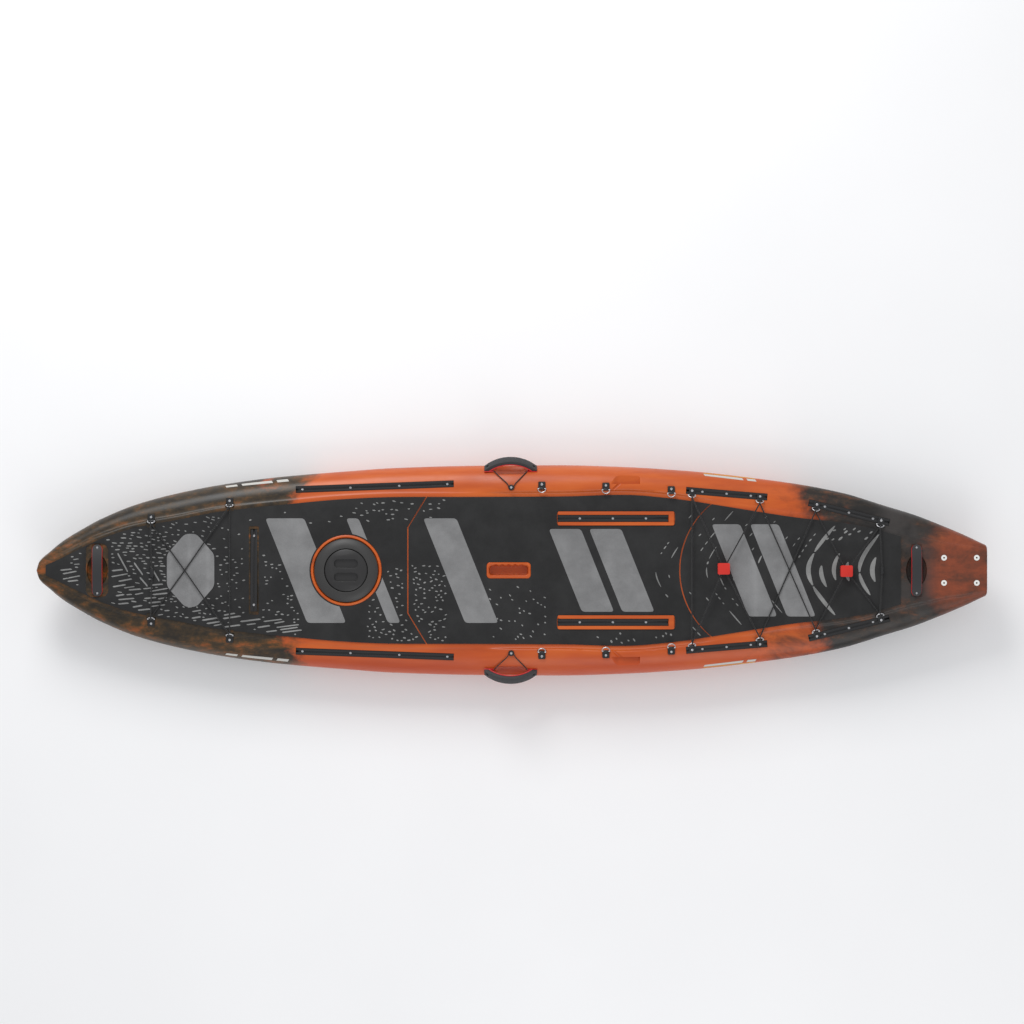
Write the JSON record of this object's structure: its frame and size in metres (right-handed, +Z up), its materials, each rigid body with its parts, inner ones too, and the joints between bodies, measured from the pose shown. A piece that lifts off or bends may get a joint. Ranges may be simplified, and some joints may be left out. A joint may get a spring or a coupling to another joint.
{
  "type": "sit-on-top fishing kayak",
  "caption": "Flat-decked sit-on-top kayak hull with foam deck pads, round screw hatch, gear tracks, carry handles, lashing rings and elastic cords.",
  "frame": {"origin": "centre of the overall box, at the lowest point of the keel", "axes": "+X runs along the centre line towards the stern, so the bow points to -X; +Y to starboard; +Z up from the keel to the deck"},
  "size_m": [3.66, 0.8794, 0.2558],
  "materials": {
    "hull_plastic": "rotomoulded, orange running into brown and black at both ends",
    "deck_foam": "textured soft foam",
    "hatch_plastic": "satin, fine grain",
    "seal_rubber": "matte",
    "track_rail": "black anodised",
    "stainless_steel": "polished",
    "grip_rubber": "soft, matte",
    "liner_red": "satin",
    "black_plastic": "satin",
    "bungee_cord": "woven sheath",
    "hub_red": "satin",
    "insert_brass": "machined",
    "washer_white": "satin",
    "core_foam": "closed-cell foam"
  },
  "bodies": {
    "kayak": {"hull": "hull_plastic", "deck_pad_bow": "deck_foam", "deck_pad_centre": "deck_foam", "deck_pad_stern": "deck_foam", "hatch_tub": "hatch_plastic", "hatch_gasket": "seal_rubber", "front_track_port": "track_rail", "front_track_starboard": "track_rail", "cross_track_bow": "track_rail", "deck_track_port": "track_rail", "deck_track_starboard": "track_rail", "rear_track_port": "track_rail", "rear_track_starboard": "track_rail", "stern_track_port": "track_rail", "stern_track_starboard": "track_rail", "track_screws": "stainless_steel", "bow_handle_grip": "grip_rubber", "bow_handle_liner": "liner_red", "stern_handle_grip": "grip_rubber", "stern_handle_liner": "liner_red", "port_handle_grip": "grip_rubber", "port_handle_liner": "liner_red", "starboard_handle_grip": "grip_rubber", "starboard_handle_liner": "liner_red", "handle_screws": "stainless_steel", "seat_anchor_bases": "black_plastic", "seat_anchor_screws": "stainless_steel", "bow_anchor_bases": "black_plastic", "bow_anchor_rings": "stainless_steel", "bow_anchor_screws": "stainless_steel", "track_eyelets": "black_plastic", "track_eyelet_rings": "stainless_steel", "track_eyelet_bolts": "stainless_steel", "bow_bungee": "bungee_cord", "bow_bungee_lock": "black_plastic", "stern_bungee": "bungee_cord", "bungee_hub_front": "hub_red", "bungee_hub_rear": "hub_red", "bungee_hooks": "black_plastic", "paddle_bungee_port": "bungee_cord", "paddle_bungee_starboard": "bungee_cord", "paddle_bungee_buttons": "black_plastic", "button_screws": "stainless_steel", "mount_inserts": "insert_brass", "mount_washers": "washer_white", "drain_socket": "black_plastic", "foam_block_fore": "core_foam", "foam_block_aft": "core_foam"},
    "hatch_lid": {"hatch_lid": "hatch_plastic"},
    "turn_handle": {"hatch_turn_handle": "hatch_plastic", "hatch_latch_bar": "hatch_plastic"},
    "drain_plug": {"drain_plug": "black_plastic", "drain_seal": "seal_rubber"},
    "d_ring_fore_port": {"d_ring_fore_port": "stainless_steel"},
    "d_ring_fore_starboard": {"d_ring_fore_starboard": "stainless_steel"},
    "d_ring_mid_port": {"d_ring_mid_port": "stainless_steel"},
    "d_ring_mid_starboard": {"d_ring_mid_starboard": "stainless_steel"},
    "d_ring_aft_port": {"d_ring_aft_port": "stainless_steel"},
    "d_ring_aft_starboard": {"d_ring_aft_starboard": "stainless_steel"}
  },
  "joints": [
    {"name": "lid_lift", "type": "slide", "parent": "kayak", "child": "hatch_lid", "axis": [0, 0, 1], "range_m": [0, 0.12]},
    {"name": "handle_turn", "type": "hinge", "parent": "hatch_lid", "child": "turn_handle", "pos_m": [-0.6405, 0, 0.2], "axis": [0, 0, 1], "range_deg": [0, 90]},
    {"name": "drain_plug_pull", "type": "slide", "parent": "kayak", "child": "drain_plug", "axis": [1, 0, 0], "range_m": [0, 0.03]},
    {"name": "d_ring_fore_port_swing", "type": "hinge", "parent": "kayak", "child": "d_ring_fore_port", "pos_m": [0.11529, -0.31584, 0.20206], "axis": [1, 0, 0], "range_deg": [0, 150]},
    {"name": "d_ring_fore_starboard_swing", "type": "hinge", "parent": "kayak", "child": "d_ring_fore_starboard", "pos_m": [0.11529, 0.31584, 0.20206], "axis": [-1, 0, 0], "range_deg": [0, 150]},
    {"name": "d_ring_mid_port_swing", "type": "hinge", "parent": "kayak", "child": "d_ring_mid_port", "pos_m": [0.36234, -0.31172, 0.20633], "axis": [1, 0, 0], "range_deg": [0, 150]},
    {"name": "d_ring_mid_starboard_swing", "type": "hinge", "parent": "kayak", "child": "d_ring_mid_starboard", "pos_m": [0.36234, 0.31172, 0.20633], "axis": [-1, 0, 0], "range_deg": [0, 150]},
    {"name": "d_ring_aft_port_swing", "type": "hinge", "parent": "kayak", "child": "d_ring_aft_port", "pos_m": [0.61488, -0.29814, 0.20716], "axis": [1, 0, 0], "range_deg": [0, 150]},
    {"name": "d_ring_aft_starboard_swing", "type": "hinge", "parent": "kayak", "child": "d_ring_aft_starboard", "pos_m": [0.61488, 0.29814, 0.20716], "axis": [-1, 0, 0], "range_deg": [0, 150]}
  ]
}
